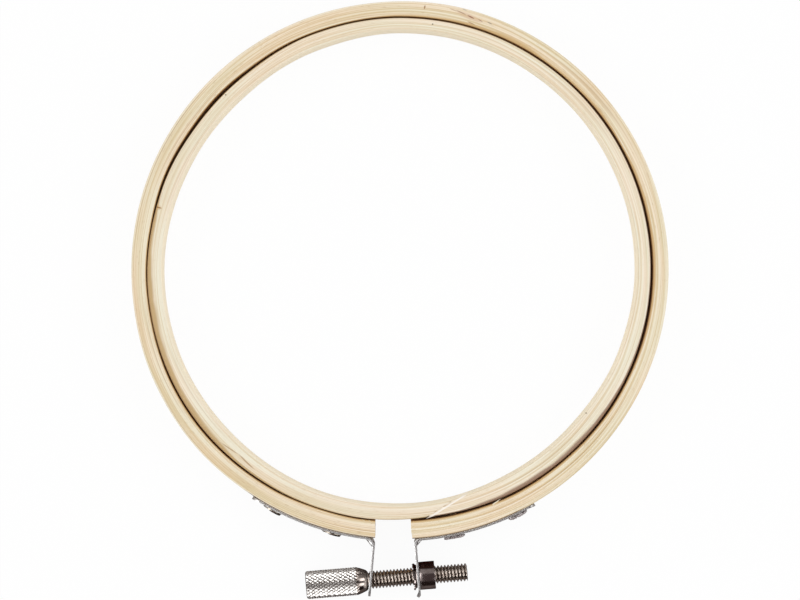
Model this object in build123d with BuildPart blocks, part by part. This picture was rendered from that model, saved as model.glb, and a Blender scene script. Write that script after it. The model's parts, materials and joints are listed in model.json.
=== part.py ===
from build123d import *

import os
from math import atan2, cos, degrees, radians, sin, sqrt, tan

# Embroidery hoop, lying flat with its front face up. The origin is at the middle of the round
# opening, half way up the hoops. +Z is up, and the screw is on the -Y side.
# Lengths are in millimetres and angles in degrees, anticlockwise from +X seen from above.

# Outer hoop: one bamboo strip bent round, open at the gap
outer_radius = 62.5
outer_wall = 3.5
hoop_height = 9.0
outer_edge_round = 0.4
left_end_reach = 5.65
right_end_reach = 2.6
right_end_tilt = 7.0

# Inner hoop: a closed bamboo ring that drops into the outer one
hoop_clearance = 0.65
inner_wall = 3.25
inner_edge_round = 0.4

# Screw: an 8-32 thread, whose axis runs slightly uphill to the right
thread_diameter = 4.17
thread_pitch = 0.794
thread_depth = 0.45
thread_length = 23.3
thread_crest_share = 0.2
thread_root_share = 0.2
shank_radius = 1.6
shank_length = 6.0
screw_standoff = 9.38
screw_tilt = 4.7

# Knob: a knurled cylinder with a smooth conical nose, pressed on the rod's shank
knob_radius = 3.28
knob_length = 14.35
knob_cone_length = 2.26
knob_chamfer = 0.3
nose_land = 0.1
nose_clearance = 0.06

# Nut: staked in the right bracket, with its flared collar on the gap side
nut_bore_clearance = 0.2
nut_shank_wall = 0.465
nut_shoulder = 0.52
nut_length = 3.65
nut_chamfer = 0.2
collar_length = 0.9
collar_grip = 0.2
collar_flare = 0.15
collar_mouth_flare = 0.45
collar_mouth_depth = 0.5

# Brackets: sheet strips along the hoop's ends, bent down beside the screw
sheet_thickness = 0.55
leg_web = 0.73
leg_corner_share = 0.4
tail_corner_share = 0.75
gusset_reach = 1.5
gusset_width = 2.2
dent_leg_share = 0.76
dent_width_share = 0.5
left_bend_radius = 1.75
left_leg_reach = 6.42
left_leg_lean = 5.0
left_leg_overhang = 3.8
left_tail_length = 2.3
left_tail_lift = 12.0
right_bend_radius = 0.8
right_leg_reach = 4.12
right_leg_lean = screw_tilt
right_leg_overhang = 5.15
right_tail_length = 1.8
right_tail_lift = 8.0

# Rivets: a flange and a button outside, a flush clinched tail inside
rivet_shank_radius = 1.1
rivet_flange_radius = 2.35
rivet_flange_height = 0.6
rivet_flange_round = 0.2
rivet_button_radius = 1.5
rivet_button_height = 0.5
rivet_tail_radius = 1.8
rivet_tail_height = 0.4
rivet_tail_recess = 0.15
left_gap_rivet_angle = -104.5
left_tail_rivet_angle = -117.9
right_gap_rivet_angle = -78.3
right_tail_rivet_angle = -64.3

# Clearances, and the overrun of cuts
seat_clearance = 0.05
rivet_hole_clearance = 0.05
leg_hole_clearance = 0.25
staking_clearance = 0.02
cut_overrun = 1.0

# Radii of the hoops and of the strip that lies on the outer one
outer_bore_radius = outer_radius - outer_wall
inner_radius = outer_bore_radius - hoop_clearance
window_radius = inner_radius - inner_wall
seat_radius = outer_radius + seat_clearance
strip_top_radius = seat_radius + sheet_thickness

# Radii about the screw's axis
thread_radius = thread_diameter / 2
left_hole_radius = thread_radius + leg_hole_clearance
knob_nose_radius = left_hole_radius + nose_land
nut_bore_radius = thread_radius + nut_bore_clearance
nut_shank_radius = nut_bore_radius + nut_shank_wall
nut_radius = nut_shank_radius + nut_shoulder
right_hole_radius = nut_shank_radius + staking_clearance
sheet_width = 2 * (right_hole_radius + leg_web)

# The screw's axis, measured along it from where it crosses x = 0
screw_drop = outer_radius + screw_standoff
screw_direction = Vector(cos(radians(screw_tilt)), sin(radians(screw_tilt)), 0)
screw_plane = Plane(origin=(0, -screw_drop, 0), x_dir=screw_direction, z_dir=(0, 0, 1))
screw_axis = Axis(screw_plane.origin, screw_direction)
screw_cross_plane = Plane(origin=screw_plane.origin, x_dir=(0, 0, 1), z_dir=screw_direction)

os.makedirs("parts", exist_ok=True)


def radial_plane(angle, radius):
    """The plane that faces outwards at this angle and distance from the hoops' axis."""
    outwards = Vector(cos(radians(angle)), sin(radians(angle)), 0)
    return Plane(origin=outwards * radius, x_dir=(0, 0, 1), z_dir=outwards)


def save(piece, label):
    """Name a finished piece and write it."""
    piece.label = label
    export_step(piece, f"parts/{label}.step")
    print(f"{label}: {piece.volume:.1f} mm3, {len(piece.solids())} solid")


# Outer hoop
rivet_angles = {
    "left_gap_rivet": left_gap_rivet_angle,
    "left_tail_rivet": left_tail_rivet_angle,
    "right_gap_rivet": right_gap_rivet_angle,
    "right_tail_rivet": right_tail_rivet_angle,
}
gap_top = cut_overrun - outer_bore_radius
gap_bottom = -outer_radius - cut_overrun
right_end_run = tan(radians(right_end_tilt))
tail_pocket_depth = cut_overrun + rivet_tail_recess + rivet_tail_height + seat_clearance

with BuildPart() as outer_hoop:
    with BuildSketch():
        Circle(outer_radius)
        Circle(outer_bore_radius, mode=Mode.SUBTRACT)
        with BuildLine():
            Polyline(
                (-left_end_reach, gap_top),
                (-left_end_reach, gap_bottom),
                (right_end_reach + (outer_wall + cut_overrun) * right_end_run, gap_bottom),
                (right_end_reach - cut_overrun * right_end_run, gap_top),
                close=True,
            )
        make_face(mode=Mode.SUBTRACT)
    extrude(amount=hoop_height / 2, both=True)
    fillet(outer_hoop.edges().filter_by(GeomType.CIRCLE), radius=outer_edge_round)
    for angle in rivet_angles.values():
        with BuildSketch(radial_plane(angle, outer_bore_radius)):
            Circle(rivet_shank_radius + rivet_hole_clearance)
        extrude(amount=outer_wall + cut_overrun, mode=Mode.SUBTRACT)
        with BuildSketch(radial_plane(angle, outer_bore_radius - cut_overrun)):
            Circle(rivet_tail_radius + rivet_hole_clearance)
        extrude(amount=tail_pocket_depth, mode=Mode.SUBTRACT)
save(outer_hoop.part, "outer_hoop")

# Inner hoop
with BuildPart() as inner_hoop:
    with BuildSketch():
        Circle(inner_radius)
        Circle(window_radius, mode=Mode.SUBTRACT)
    extrude(amount=hoop_height / 2, both=True)
    fillet(inner_hoop.edges().filter_by(GeomType.CIRCLE), radius=inner_edge_round)
save(inner_hoop.part, "inner_hoop")

# Brackets: each sheet is the offset of one line, which runs from the strip's tail along the
# hoop, round the bend and down the leg, on the face that touches the hoop.
# side is -1 on the left and 1 on the right. Each row holds the name, the side, the bend's
# inside radius, the leg's reach, lean and overhang, the tail's length and lift, the two rivets
# and the hole for the screw.
bracket_rows = [
    (
        "left", -1, left_bend_radius, left_leg_reach, left_leg_lean, left_leg_overhang,
        left_tail_length, left_tail_lift, left_gap_rivet_angle, left_tail_rivet_angle,
        left_hole_radius,
    ),
    (
        "right", 1, right_bend_radius, right_leg_reach, right_leg_lean, right_leg_overhang,
        right_tail_length, right_tail_lift, right_gap_rivet_angle, right_tail_rivet_angle,
        right_hole_radius,
    ),
]

for row in bracket_rows:
    side_name, side, bend_radius, leg_reach, leg_lean, leg_overhang = row[:6]
    tail_length, tail_lift, gap_rivet_angle, tail_rivet_angle, screw_hole_radius = row[6:]

    # The leg's gap face passes the screw's axis at its reach, and meets the strip at the corner
    down_leg = Vector(side * sin(radians(leg_lean)), -cos(radians(leg_lean)))
    away_from_gap = Vector(side * cos(radians(leg_lean)), sin(radians(leg_lean)))
    leg_at_screw = Vector(side * leg_reach, side * leg_reach * tan(radians(screw_tilt)) - screw_drop)
    leg_offset = leg_at_screw.dot(away_from_gap)
    corner = away_from_gap * leg_offset + down_leg * sqrt(seat_radius**2 - leg_offset**2)
    corner_angle = degrees(atan2(corner.Y, corner.X))
    leg_tip = leg_at_screw + down_leg * leg_overhang

    # The tail lifts off the hoop a sheet's thickness past the last rivet's flange
    past_rivet = degrees((rivet_flange_radius + sheet_thickness) / seat_radius)
    kink_angle = tail_rivet_angle + side * past_rivet
    kink_outwards = Vector(cos(radians(kink_angle)), sin(radians(kink_angle)))
    kink = kink_outwards * seat_radius
    tail_direction = kink_outwards.rotate(Axis.Z, side * (90 - tail_lift))
    tail_end = kink + tail_direction * tail_length

    # The bend is stiffened by a fold pressed in from the gap: a rib on one face, a dent on the
    # other. The rib starts at the middle of the bend, half way through the sheet.
    corner_outwards = corner.normalized()
    along_strip = corner_outwards.rotate(Axis.Z, side * 90)
    into_sheet = (corner_outwards + away_from_gap) * sheet_thickness
    mid_corner = corner + into_sheet / 2
    half_opening = radians(along_strip.get_angle(down_leg) / 2)
    mid_bend_radius = bend_radius + sheet_thickness / 2
    past_corner = mid_bend_radius / sin(half_opening) - mid_bend_radius
    mid_bend = mid_corner + (along_strip + down_leg).normalized() * past_corner
    gusset_leg = bend_radius + gusset_reach

    with BuildPart() as bracket:
        with BuildSketch():
            with BuildLine() as touching_line:
                Line(tail_end, kink)
                CenterArc((0, 0), seat_radius, kink_angle, corner_angle - kink_angle)
                Line(corner, leg_tip)
                bend = touching_line.vertices().sort_by_distance(corner)[0]
                fillet(bend, radius=bend_radius + sheet_thickness)
                offset(
                    amount=sheet_thickness,
                    kind=Kind.INTERSECTION,
                    side=Side.LEFT if side > 0 else Side.RIGHT,
                )
            make_face()
        extrude(amount=sheet_width / 2, both=True)
        thickness_edges = bracket.edges().group_by(SortBy.LENGTH)[0].group_by(Axis.Y)
        fillet(thickness_edges[0], radius=sheet_width * leg_corner_share)
        fillet(thickness_edges[-1], radius=tail_length * tail_corner_share)
        with BuildSketch():
            with BuildLine():
                Polyline(
                    mid_bend,
                    mid_corner + along_strip * gusset_leg,
                    mid_corner + down_leg * gusset_leg,
                    close=True,
                )
            make_face()
        extrude(amount=gusset_width / 2, both=True)
        with BuildSketch():
            with BuildLine():
                Polyline(
                    corner - into_sheet,
                    corner + along_strip * gusset_leg * dent_leg_share,
                    corner + down_leg * gusset_leg * dent_leg_share,
                    close=True,
                )
            make_face()
        extrude(amount=gusset_width * dent_width_share / 2, both=True, mode=Mode.SUBTRACT)
        for angle in (gap_rivet_angle, tail_rivet_angle):
            with BuildSketch(radial_plane(angle, outer_radius)):
                Circle(rivet_shank_radius + rivet_hole_clearance)
            extrude(amount=sheet_thickness + cut_overrun, mode=Mode.SUBTRACT)
        with BuildSketch(screw_cross_plane):
            Circle(screw_hole_radius)
        extrude(amount=leg_reach + sheet_width, both=True, mode=Mode.SUBTRACT)
    save(bracket.part, f"{side_name}_bracket")

# Rivets: each is built up along the radial line that it stands on
tail_foot = outer_bore_radius + rivet_tail_recess
tail_top = tail_foot + rivet_tail_height
flange_foot = strip_top_radius + seat_clearance
flange_top = flange_foot + rivet_flange_height

for name, angle in rivet_angles.items():
    with BuildPart() as rivet:
        with BuildSketch(radial_plane(angle, tail_foot)):
            Circle(rivet_tail_radius)
        extrude(amount=rivet_tail_height)
        with BuildSketch(radial_plane(angle, tail_top)):
            Circle(rivet_shank_radius)
        extrude(amount=flange_foot - tail_top)
        with BuildSketch(radial_plane(angle, flange_foot)):
            Circle(rivet_flange_radius)
        extrude(amount=rivet_flange_height)
        flange_rims = rivet.edges().filter_by(GeomType.CIRCLE).group_by(SortBy.RADIUS)[-1]
        fillet(flange_rims.sort_by_distance((0, 0, 0))[-1], radius=rivet_flange_round)
        with BuildSketch(radial_plane(angle, flange_top)):
            Circle(rivet_button_radius)
        extrude(amount=rivet_button_height)
    save(rivet.part, name)

# Threaded rod: its thread is drawn as rings at the thread's pitch. The knob's nose stands
# against the left leg, which leans away from square to the rod.
left_face_crossing = (left_leg_reach + sheet_thickness) / cos(radians(screw_tilt))
nose_lean = tan(radians(left_leg_lean + screw_tilt))
nose = -(left_face_crossing + knob_nose_radius * nose_lean + nose_clearance)
rod_back = nose - shank_length
rod_end = nose + thread_length
thread_root_radius = thread_radius - thread_depth
thread_turns = int(thread_length / thread_pitch)
flank_share = (1 - thread_crest_share - thread_root_share) / 2

rod_points = [(rod_back, 0), (rod_back, shank_radius), (nose, shank_radius)]
for turn in range(thread_turns):
    root = nose + turn * thread_pitch
    crest = root + (thread_root_share + flank_share) * thread_pitch
    rod_points += [
        (root, thread_root_radius),
        (root + thread_root_share * thread_pitch, thread_root_radius),
        (crest, thread_radius),
        (crest + thread_crest_share * thread_pitch, thread_radius),
    ]
thread_end = nose + thread_turns * thread_pitch
rod_points += [(thread_end, thread_root_radius), (rod_end, thread_root_radius), (rod_end, 0)]

with BuildPart() as threaded_rod:
    with BuildSketch(screw_plane):
        with BuildLine():
            Polyline(*rod_points, close=True)
        make_face()
    revolve(axis=screw_axis)
save(threaded_rod.part, "threaded_rod")

# Thumb knob
knob_back = nose - knob_length
with BuildPart() as thumb_knob:
    with BuildSketch(screw_plane):
        with BuildLine():
            Polyline(
                (knob_back, 0),
                (knob_back, knob_radius - knob_chamfer),
                (knob_back + knob_chamfer, knob_radius),
                (nose - knob_cone_length, knob_radius),
                (nose, knob_nose_radius),
                (nose, shank_radius),
                (rod_back, shank_radius),
                (rod_back, 0),
                close=True,
            )
        make_face()
    revolve(axis=screw_axis)
save(thumb_knob.part, "thumb_knob")

# Clinch nut
leg_gap_face = right_leg_reach / cos(radians(screw_tilt))
leg_nut_face = leg_gap_face + sheet_thickness
nut_end = leg_nut_face + nut_length
collar_end = leg_gap_face - collar_length
collar_foot_radius = nut_shank_radius + collar_grip
with BuildPart() as clinch_nut:
    with BuildSketch(screw_plane):
        with BuildLine():
            Polyline(
                (leg_nut_face, nut_shank_radius),
                (leg_nut_face, nut_radius),
                (nut_end - nut_chamfer, nut_radius),
                (nut_end, nut_radius - nut_chamfer),
                (nut_end, nut_bore_radius),
                (collar_end + collar_mouth_depth, nut_bore_radius),
                (collar_end, nut_bore_radius + collar_mouth_flare),
                (collar_end, collar_foot_radius + collar_flare),
                (leg_gap_face, collar_foot_radius),
                (leg_gap_face, nut_shank_radius),
                close=True,
            )
        make_face()
    revolve(axis=screw_axis)
save(clinch_nut.part, "clinch_nut")
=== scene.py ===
# %% [markdown]
# # A bamboo embroidery hoop
#
# Two bamboo rings hold the cloth between them. The outer ring is split, and a thumbscrew
# between two bent steel brackets draws its ends together. The engineering model gives every
# piece its size and place; this lesson gives each one the surface of the real thing. All
# lengths are in metres, so a value in millimetres is written as a number times mm.

# %% Load the frame
import json
from math import atan2, ceil, cos, floor, hypot, pi, radians, sin, sqrt, tau

import bpy
from mathutils import Matrix, Vector


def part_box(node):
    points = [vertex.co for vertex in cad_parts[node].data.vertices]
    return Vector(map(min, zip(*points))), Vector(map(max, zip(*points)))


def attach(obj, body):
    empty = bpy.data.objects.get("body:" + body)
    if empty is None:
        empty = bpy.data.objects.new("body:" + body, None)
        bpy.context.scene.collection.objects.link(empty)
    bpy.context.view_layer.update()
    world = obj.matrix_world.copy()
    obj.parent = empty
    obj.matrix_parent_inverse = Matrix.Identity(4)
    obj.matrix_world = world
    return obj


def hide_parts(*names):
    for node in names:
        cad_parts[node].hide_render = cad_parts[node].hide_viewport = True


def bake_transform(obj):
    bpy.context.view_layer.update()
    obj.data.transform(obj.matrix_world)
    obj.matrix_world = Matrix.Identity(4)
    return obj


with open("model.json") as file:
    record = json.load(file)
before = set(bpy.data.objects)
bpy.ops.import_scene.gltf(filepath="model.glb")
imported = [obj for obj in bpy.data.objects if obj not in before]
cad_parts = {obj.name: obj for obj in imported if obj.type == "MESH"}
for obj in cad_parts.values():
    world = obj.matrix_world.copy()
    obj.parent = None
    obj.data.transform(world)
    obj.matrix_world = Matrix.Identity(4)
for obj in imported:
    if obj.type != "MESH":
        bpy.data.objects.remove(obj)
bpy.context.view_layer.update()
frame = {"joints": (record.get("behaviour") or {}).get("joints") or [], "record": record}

# %% [markdown]
# ## Sizes
#
# The frame already knows how wide and high the rings are and where the screw runs, so those
# are read from it. A size that only this script needs is named in the cell that uses it.

# %% Sizes from the frame
mm = 0.001
joints = {joint["name"]: joint for joint in frame["joints"]}
mounts = {mount["name"]: mount for mount in frame["record"]["mounts"]}

outer_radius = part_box("outer_hoop")[1].x
half_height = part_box("outer_hoop")[1].z
inner_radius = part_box("inner_hoop")[1].x
window_radius = mounts["inner_bore"]["dims"]["r_mm"] * mm
screw_origin = Vector(joints["knob_turn"]["pos_m"])
screw_axis = Vector(joints["knob_turn"]["axis"])
print("outer radius", round(outer_radius / mm, 2), "half height", round(half_height / mm, 2))

# %% [markdown]
# ## Camera
#
# The photograph looks straight down on the hoop from about 60 cm, a little below its middle.
# A lens length follows from the width of the picture at the front face.

# %% Camera
camera_distance = 605 * mm
picture_width = 185.6 * mm
sensor_width = 36
camera_place = Vector((0.139 * mm, -7.007 * mm, half_height + camera_distance))

bpy.ops.object.select_all(action="DESELECT")
bpy.ops.object.camera_add(location=camera_place, rotation=(0, 0, 0))
camera = bpy.context.object
camera.name = "photo_camera"
camera.data.sensor_width = sensor_width
camera.data.lens = sensor_width * camera_distance / picture_width
camera.data.clip_start = 10 * mm
bpy.context.scene.camera = camera
print("lens", round(camera.data.lens, 1), "mm")

# %% [markdown]
# ## Floor, lamps and surroundings
#
# The hoop lies on white paper between two soft boxes, with a dark room above it: wood needs
# the soft light from both sides, and plated metal needs something dark to mirror. The paper
# is shown white to the camera, with a trace of the real shadow left in it; mirrors see a dim
# sheet, because the photograph has a dark line round everything that is plated.

# %% Node helpers


def add_node(tree, kind, settings=(), inputs=()):
    """Add a node to a tree, change its settings, and fill or link its inputs."""
    node = tree.nodes.new(kind)
    for name, value in dict(settings).items():
        setattr(node, name, value)
    for name, value in dict(inputs).items():
        if isinstance(value, bpy.types.NodeSocket):
            tree.links.new(value, node.inputs[name])
        else:
            node.inputs[name].default_value = value
    return node


def calculate(tree, operation, *values):
    """A Math node on one to three numbers or sockets. Returns its output socket."""
    return add_node(
        tree, "ShaderNodeMath", {"operation": operation}, dict(enumerate(values))
    ).outputs[0]


def product(tree, first, second):
    """Two numbers or sockets multiplied. Returns the output socket."""
    return calculate(tree, "MULTIPLY", first, second)


def grey(value):
    """A colour whose red, green and blue are all the same."""
    return (value, value, value, 1)


def new_material(name):
    """A material with an empty node tree and its output node."""
    material = bpy.data.materials.new(name)
    material.use_nodes = True
    material.node_tree.nodes.clear()
    return material, add_node(material.node_tree, "ShaderNodeOutputMaterial")


# %% Shader helpers for textures


def vector_math(tree, operation, *values):
    """A Vector Math node on one to three vectors or sockets. Returns its output socket."""
    node = add_node(
        tree, "ShaderNodeVectorMath", {"operation": operation}, dict(enumerate(values))
    )
    return node.outputs["Value" if operation in ("LENGTH", "DOT_PRODUCT") else "Vector"]


def parts_of(tree, vector):
    """The outputs X, Y and Z of a vector."""
    return add_node(tree, "ShaderNodeSeparateXYZ", inputs={0: vector}).outputs


def object_place(tree):
    """The place of a point in its object's own coordinates."""
    return add_node(tree, "ShaderNodeTexCoord").outputs["Object"]


def stored_vector(tree, name):
    """A vector that the mesh stores at each corner."""
    return add_node(tree, "ShaderNodeAttribute", {"attribute_name": name}).outputs["Vector"]


def stretched_noise(tree, place, along, across, detail, shift=0.0):
    """Noise whose spots are this many metres long and wide on the strip, from 0 to 1."""
    scaled = vector_math(
        tree, "MULTIPLY_ADD", place, (1 / along, 1 / across, 1 / across), (shift, shift, shift)
    )
    noise = add_node(
        tree,
        "ShaderNodeTexNoise",
        inputs={"Vector": scaled, "Scale": 1.0, "Detail": detail, "Roughness": 0.5},
    )
    return noise.outputs["Fac"]


def ramp(tree, value, low, high):
    """0 where value is under low, 1 where it is over high, and eased in between."""
    return add_node(
        tree,
        "ShaderNodeMapRange",
        {"interpolation_type": "SMOOTHSTEP"},
        {"Value": value, "From Min": low, "From Max": high},
    ).outputs["Result"]


def inverse(tree, value):
    """One minus a value."""
    return calculate(tree, "SUBTRACT", 1.0, value)


def mix_colours(tree, share, first, second, blend="MIX"):
    """The first colour where share is 0, and the second, or their product, where it is 1."""
    return add_node(
        tree,
        "ShaderNodeMix",
        {"data_type": "RGBA", "blend_type": blend},
        {0: share, 6: first, 7: second},  # a Mix node's colours are its inputs 6 and 7
    ).outputs[2]


def new_group(name, inputs, outputs):
    """A node group with named sockets. Returns its tree, its inputs and its output node."""
    group = bpy.data.node_groups.new(name, "ShaderNodeTree")
    kinds = {"colour": "NodeSocketColor", "value": "NodeSocketFloat", "vector": "NodeSocketVector"}
    for label, kind in inputs.items():
        group.interface.new_socket(label, in_out="INPUT", socket_type=kinds[kind])
    for label, kind in outputs.items():
        group.interface.new_socket(label, in_out="OUTPUT", socket_type=kinds[kind])
    given = group.nodes.new("NodeGroupInput").outputs
    result = group.nodes.new("NodeGroupOutput")
    return group, given, result


def use_group(tree, group, inputs):
    """Place a node group in a tree, with its own values. Returns its outputs."""
    return add_node(tree, "ShaderNodeGroup", {"node_tree": group}, inputs).outputs


def as_seen(colour):
    """A colour given as the eye sees it, 0 to 255, as the linear light that shaders take."""
    shares = [part / 255 for part in colour]
    linear = [
        part / 12.92 if part <= 0.04045 else ((part + 0.055) / 1.055) ** 2.4 for part in shares
    ]
    return (*linear, 1)


# %% Floor
floor_size = 8.0
floor_drop = 0.02 * mm
shadow_share = 0.06
mirrored_paper = (0.24, 0.2, 0.19, 1)

bpy.ops.object.select_all(action="DESELECT")
bpy.ops.mesh.primitive_plane_add(size=floor_size, location=(0, 0, -half_height - floor_drop))
paper = bpy.context.object
paper.name = "paper_floor"
bpy.ops.object.transform_apply(location=True, rotation=True, scale=True)

paper_finish, paper_output = new_material("white_paper")
tree = paper_finish.node_tree
ray = add_node(tree, "ShaderNodeLightPath")
seen = calculate(tree, "MAXIMUM", ray.outputs["Is Camera Ray"], ray.outputs["Is Glossy Ray"])
seen = calculate(tree, "MAXIMUM", seen, ray.outputs["Is Transmission Ray"])
lit_paper = add_node(tree, "ShaderNodeBsdfDiffuse", inputs={"Color": grey(0.9)})
shown = mix_colours(tree, ray.outputs["Is Glossy Ray"], grey(1), mirrored_paper)
white_paper = add_node(tree, "ShaderNodeEmission", inputs={"Color": shown, "Strength": 1.0})
paper_mix = add_node(
    tree,
    "ShaderNodeMixShader",
    inputs={
        0: product(tree, seen, 1 - shadow_share),
        1: lit_paper.outputs[0],
        2: white_paper.outputs[0],
    },
)
tree.links.new(paper_mix.outputs[0], paper_output.inputs["Surface"])
paper.data.materials.append(paper_finish)
print("floor at", round((-half_height - floor_drop) / mm, 2), "mm")

# %% Lamps
lamp_rows = [
    # name, place, width and height in metres, power in watts
    ("left_soft_box", (-0.85, 0.05, 0.65), (0.8, 0.6), 2.2),
    ("right_soft_box", (0.85, 0.05, 0.65), (0.8, 0.6), 2.6),
]
for name, place, (width, height), power in lamp_rows:
    bpy.ops.object.select_all(action="DESELECT")
    facing = (-Vector(place)).to_track_quat("-Z", "Y").to_euler()
    bpy.ops.object.light_add(type="AREA", location=place, rotation=facing)
    lamp = bpy.context.object
    lamp.name = name
    lamp.data.shape = "RECTANGLE"
    lamp.data.size = width
    lamp.data.size_y = height
    lamp.data.energy = power
    lamp.visible_glossy = False
    print(name, power, "W")

# %% [markdown]
# Mirrors need something to mirror. The world below is an even light to everything but glossy
# rays; those see the studio that the photograph's metal shows. It has a dim warm ceiling, a grey
# wall behind the hoop, and is nearly black low down in front and behind. Three soft boxes are
# bright in it: a long one on the left and two short ones on the right.

# %% World
even_light = 0.8
bpy.context.scene.view_settings.view_transform = "Standard"
world = bpy.data.worlds.new("studio")
bpy.context.scene.world = world
world.use_nodes = True
world.node_tree.nodes.clear()
tree = world.node_tree
ray = add_node(tree, "ShaderNodeLightPath")
look = add_node(tree, "ShaderNodeTexCoord").outputs["Generated"]
towards = parts_of(tree, look)


def between(tree, value, low, high, blur):
    """1 where value lies between low and high, with soft edges."""
    rising = ramp(tree, value, low - blur, low + blur)
    falling = ramp(tree, value, high + blur, high - blur)
    return product(tree, rising, falling)


studio = (0.13, 0.1, 0.1, 1)
near_floor = ramp(tree, towards["Y"], -0.6, -0.8)
studio = mix_colours(tree, near_floor, studio, (0.025, 0.013, 0.011, 1))
back_wall = between(tree, towards["Y"], 0.34, 0.84, 0.05)
studio = mix_colours(tree, back_wall, studio, (0.5, 0.47, 0.46, 1))
far_floor = ramp(tree, towards["Y"], 0.87, 0.95)
studio = mix_colours(tree, far_floor, studio, (0.05, 0.03, 0.03, 1))
box_rows = [
    # left and right limits, near and far limits
    (-0.9, -0.36, -0.7, 0.42),
    (0.56, 0.86, 0.1, 0.46),
    (0.56, 0.84, -0.54, -0.22),
]
box_light = grey(4.6)
for left, right, near, far in box_rows:
    box = product(
        tree,
        between(tree, towards["X"], left, right, 0.04),
        between(tree, towards["Y"], near, far, 0.05),
    )
    studio = mix_colours(tree, box, studio, box_light)
room = mix_colours(tree, ray.outputs["Is Glossy Ray"], grey(even_light), studio)
room_light = add_node(tree, "ShaderNodeBackground", inputs={"Color": room})
white_wall = add_node(tree, "ShaderNodeBackground", inputs={"Color": grey(1), "Strength": 1.0})
wall_mix = add_node(
    tree,
    "ShaderNodeMixShader",
    inputs={0: ray.outputs["Is Camera Ray"], 1: room_light.outputs[0], 2: white_wall.outputs[0]},
)
add_node(tree, "ShaderNodeOutputWorld", inputs={"Surface": wall_mix.outputs[0]})
print("studio:", len(box_rows), "soft boxes for mirrors to see")

# %% [markdown]
# ## Working by hand in code
#
# Each piece starts as a primitive at its real size and is shaped in edit mode. These small
# helpers say which piece is being worked on and which of its faces or corners are selected,
# and they round, cut, drill and join pieces.

# %% Modelling helpers
tiny = 0.01 * mm
merge_distance = 0.001 * mm
drill_corners = 48


def work_on(piece):
    """Leave edit mode, and select this piece alone."""
    if bpy.context.object and bpy.context.object.mode == "EDIT":
        bpy.ops.object.mode_set(mode="OBJECT")
    bpy.ops.object.select_all(action="DESELECT")
    bpy.context.view_layer.objects.active = piece
    piece.select_set(True)


def take(name):
    """Name the primitive that was just added, and put its place into its mesh."""
    piece = bpy.context.object
    piece.name = piece.data.name = name
    work_on(piece)
    bpy.ops.object.transform_apply(location=True, rotation=True, scale=True)
    return piece


def select_in(piece, kind, wanted):
    """Open a piece in edit mode with only the wanted faces, edges or corners selected.

    The choice is given a face's middle and normal, an edge's ends a and b, or a corner's place.
    """
    work_on(piece)
    bpy.ops.object.mode_set(mode="EDIT")
    bpy.ops.mesh.select_mode(type={"faces": "FACE", "edges": "EDGE", "corners": "VERT"}[kind])
    bpy.ops.mesh.select_all(action="DESELECT")
    bpy.ops.object.mode_set(mode="OBJECT")
    mesh = piece.data
    if kind == "faces":
        for face in mesh.polygons:
            face.select = wanted(face.center, face.normal)
    elif kind == "edges":
        for edge in mesh.edges:
            ends = [mesh.vertices[index].co for index in edge.vertices]
            edge.select = wanted(*ends)
    else:
        for corner in mesh.vertices:
            corner.select = wanted(corner.co)
    bpy.ops.object.mode_set(mode="EDIT")


def everything(*_):
    """The choice that select_in takes to select the whole piece."""
    return True


def close_up(piece):
    """Merge doubled corners, turn the faces outwards, and leave edit mode."""
    select_in(piece, "corners", everything)
    bpy.ops.mesh.remove_doubles(threshold=merge_distance)
    bpy.ops.mesh.normals_make_consistent(inside=False)
    bpy.ops.object.mode_set(mode="OBJECT")


def apply_modifier(piece, kind, **settings):
    """Add a modifier, change its settings and apply it."""
    work_on(piece)
    modifier = piece.modifiers.new(kind.lower(), kind)
    for name, value in settings.items():
        setattr(modifier, name, value)
    bpy.ops.object.modifier_apply(modifier=modifier.name)


def round_edges(piece, width, limit=35):
    """Round every edge that is sharper than a limit in degrees."""
    apply_modifier(
        piece, "BEVEL", width=width, segments=2, limit_method="ANGLE", angle_limit=radians(limit)
    )


def carve(piece, tool, operation):
    """Join a tool's shape to a piece, cut it out or keep what both share, and drop the tool."""
    apply_modifier(piece, "BOOLEAN", operation=operation, object=tool, solver="EXACT")
    bpy.data.objects.remove(tool)


def drill(piece, place, rotation, radius, depth):
    """Cut a round hole in a piece, with its middle at a place."""
    bpy.ops.object.select_all(action="DESELECT")
    bpy.ops.mesh.primitive_cylinder_add(
        vertices=drill_corners, radius=radius, depth=depth, location=place, rotation=rotation
    )
    carve(piece, take("drill"), "DIFFERENCE")


def join_to(piece, *others):
    """Join other pieces into one."""
    work_on(piece)
    for other in others:
        other.select_set(True)
    bpy.ops.object.join()


def pull_out(move):
    """Extrude what is selected along a vector."""
    bpy.ops.mesh.extrude_region_move(TRANSFORM_OT_translate={"value": move})


def describe(piece):
    """Print a finished piece's size and its count of triangles."""
    piece.data.calc_loop_triangles()
    size = piece.dimensions / mm
    triangles = len(piece.data.loop_triangles)
    print(piece.name, [round(value, 2) for value in size], triangles, "triangles")


# %% [markdown]
# ## How round a bent strip really is
#
# No bent bamboo ring is a true circle. The photograph shows the gap between the rings closing
# and opening from about a seventh of a millimetre to nearly one, so each edge's radius is given
# at a few angles round the ring and eased between them. Where the gap is widest on top, it is a
# little narrower at the underside.

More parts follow.
